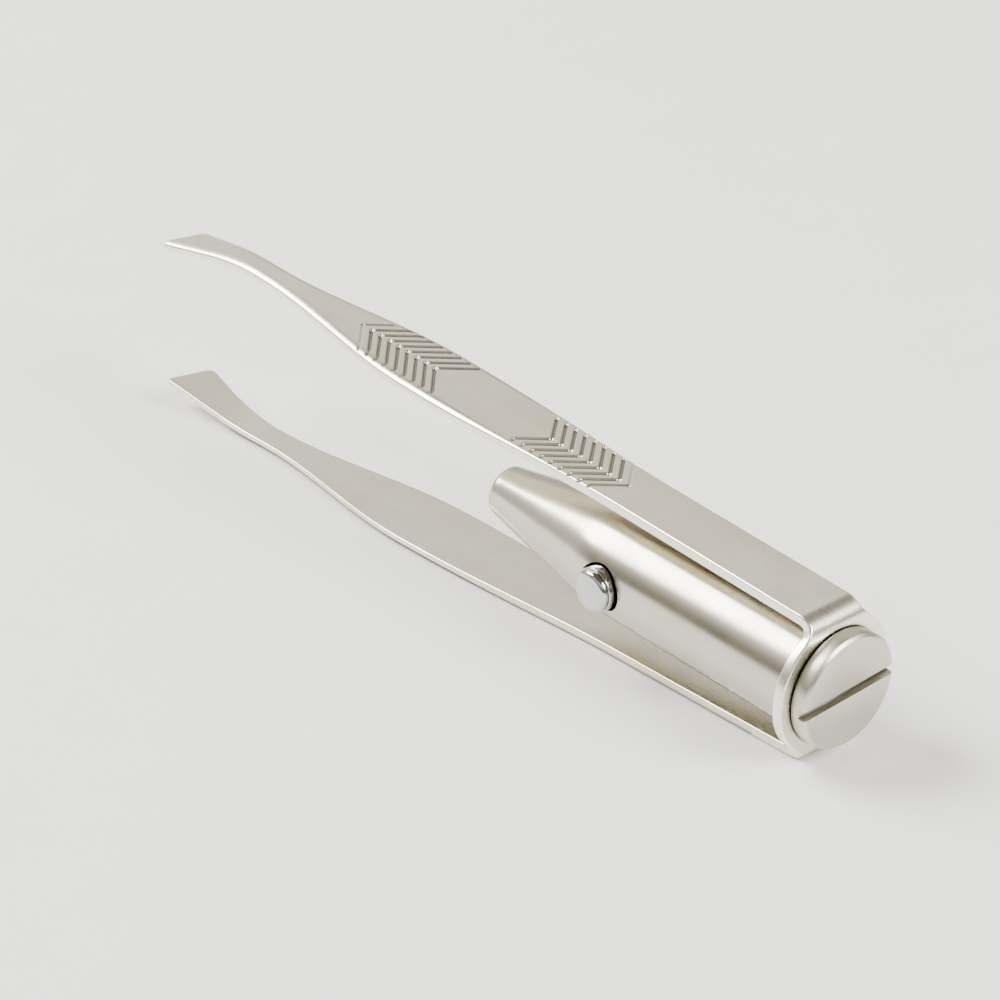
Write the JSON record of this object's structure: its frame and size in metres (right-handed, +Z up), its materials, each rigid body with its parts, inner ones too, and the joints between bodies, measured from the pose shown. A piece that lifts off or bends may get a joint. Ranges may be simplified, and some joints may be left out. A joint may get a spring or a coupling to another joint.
{
  "type": "lighted slant tweezers",
  "caption": "Slant tweezers bent from one steel strip around a battery barrel with a nose lamp, a side push button and a slotted screw cap.",
  "frame": {"origin": "bottom centre of the overall box; the outer face of the lower arm lies on z = 0, as the tweezers lie on a table", "axes": "+X towards the battery cap, -X towards the jaws, the push button on the -Y side, +Z up; the barrel's axis leans 2.82 degrees down towards +X"},
  "size_m": [0.0886, 0.0124, 0.0187],
  "materials": {
    "satin_steel": "satin nickel-coloured strip with rounded edges",
    "barrel_steel": "satin turned tube",
    "cap_steel": "fine satin, turned",
    "spring_wire": "bright drawn wire",
    "cell_can": "bright pressed steel can",
    "milky_plastic": "thin translucent film",
    "black_plastic": "moulded, matt",
    "button_chrome": "polished chrome",
    "contact_brass": "bright stamped strip",
    "lamp_resin": "clear water-white lens",
    "tinned_wire": "tinned wire"
  },
  "bodies": {
    "frame": {"spring_bow": "satin_steel", "light_barrel": "barrel_steel", "rear_cell": "cell_can", "middle_cell": "cell_can", "front_cell": "cell_can", "cell_sleeve": "milky_plastic", "switch_carrier": "black_plastic", "cell_contact": "contact_brass", "lamp_contact": "contact_brass", "lamp": "lamp_resin", "lamp_holder": "black_plastic", "anode_lead": "tinned_wire", "cathode_lead": "tinned_wire", "button_spring": "spring_wire"},
    "upper_arm": {"upper_arm": "satin_steel"},
    "lower_arm": {"lower_arm": "satin_steel"},
    "cap_contact": {"cap_spring": "spring_wire"},
    "cap": {"battery_cap": "cap_steel"},
    "button": {"push_button": "button_chrome", "button_stem": "black_plastic", "moving_contact": "contact_brass"}
  },
  "joints": [
    {"name": "upper_arm_flex", "type": "hinge", "parent": "frame", "child": "upper_arm", "pos_m": [0.02974, 0, 0.0137], "axis": [0, -1, 0], "range_deg": [0, 5.39], "stiffness_Nm_per_rad": 2},
    {"name": "lower_arm_flex", "type": "hinge", "parent": "frame", "child": "lower_arm", "pos_m": [0.02925, 0, 0.00045], "axis": [0, 1, 0], "range_deg": [0, 5.39], "stiffness_Nm_per_rad": 2},
    {"name": "cap_lift", "type": "slide", "parent": "frame", "child": "cap_contact", "axis": [0.9988, 0, -0.0492], "range_m": [0, 0.003]},
    {"name": "cap_turn", "type": "hinge", "parent": "cap_contact", "child": "cap", "pos_m": [0.04249, 0, 0.0066], "axis": [0.9988, 0, -0.0492], "range_deg": [0, 1800]},
    {"name": "button_press", "type": "slide", "parent": "frame", "child": "button", "axis": [0, 1, 0], "range_m": [0, 0.00075], "stiffness_N_per_m": 600, "springref_m": -0.001, "deforming": ["button_spring"]}
  ],
  "couplings": [
    {"joint": "lower_arm_flex", "follows": "upper_arm_flex", "ratio": 1},
    {"joint": "cap_turn", "follows": "cap_lift", "rad_per_m": 10472}
  ]
}
